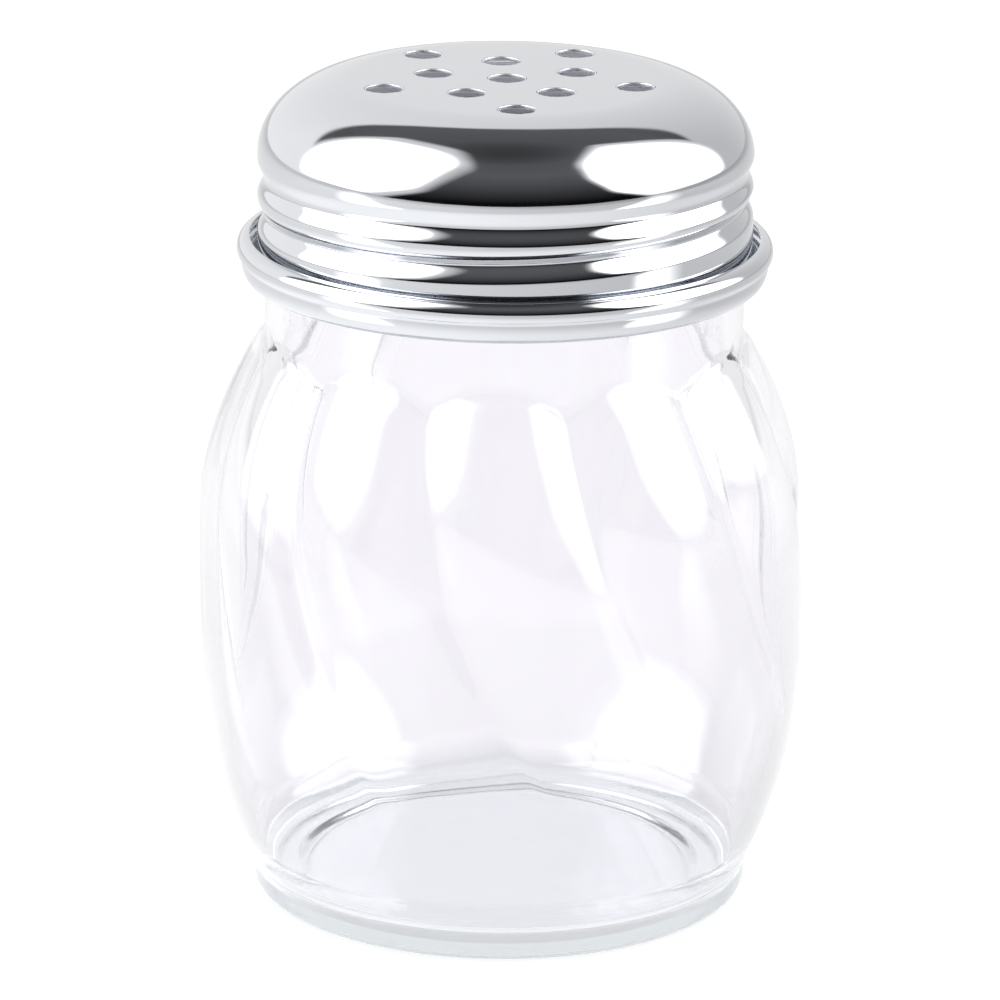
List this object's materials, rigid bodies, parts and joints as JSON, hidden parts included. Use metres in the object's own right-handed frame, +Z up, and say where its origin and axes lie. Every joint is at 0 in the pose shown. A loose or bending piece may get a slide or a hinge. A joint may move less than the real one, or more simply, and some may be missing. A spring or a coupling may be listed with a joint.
{
  "type": "cheese shaker",
  "caption": "Round swirled clear glass table shaker with a domed chrome screw lid, punched with round dispensing holes; stands on a flat foot.",
  "frame": {"origin": "centre of the jar's flat foot, on the surface that it stands on", "axes": "+Z up along the axis of the jar and lid; -Y is the side that the picture shows"},
  "size_m": [0.0723, 0.0723, 0.0985],
  "materials": {
    "clear_glass": "clear moulded glass, fire polished",
    "chromed_sheet": "bright chrome plate on drawn sheet metal"
  },
  "bodies": {
    "jar": {"jar": "clear_glass"},
    "lid": {"lid": "chromed_sheet"}
  },
  "joints": [
    {"name": "lid_lift", "type": "slide", "parent": "jar", "child": "lid", "axis": [0, 0, 1], "range_m": [0, 0.035]}
  ]
}
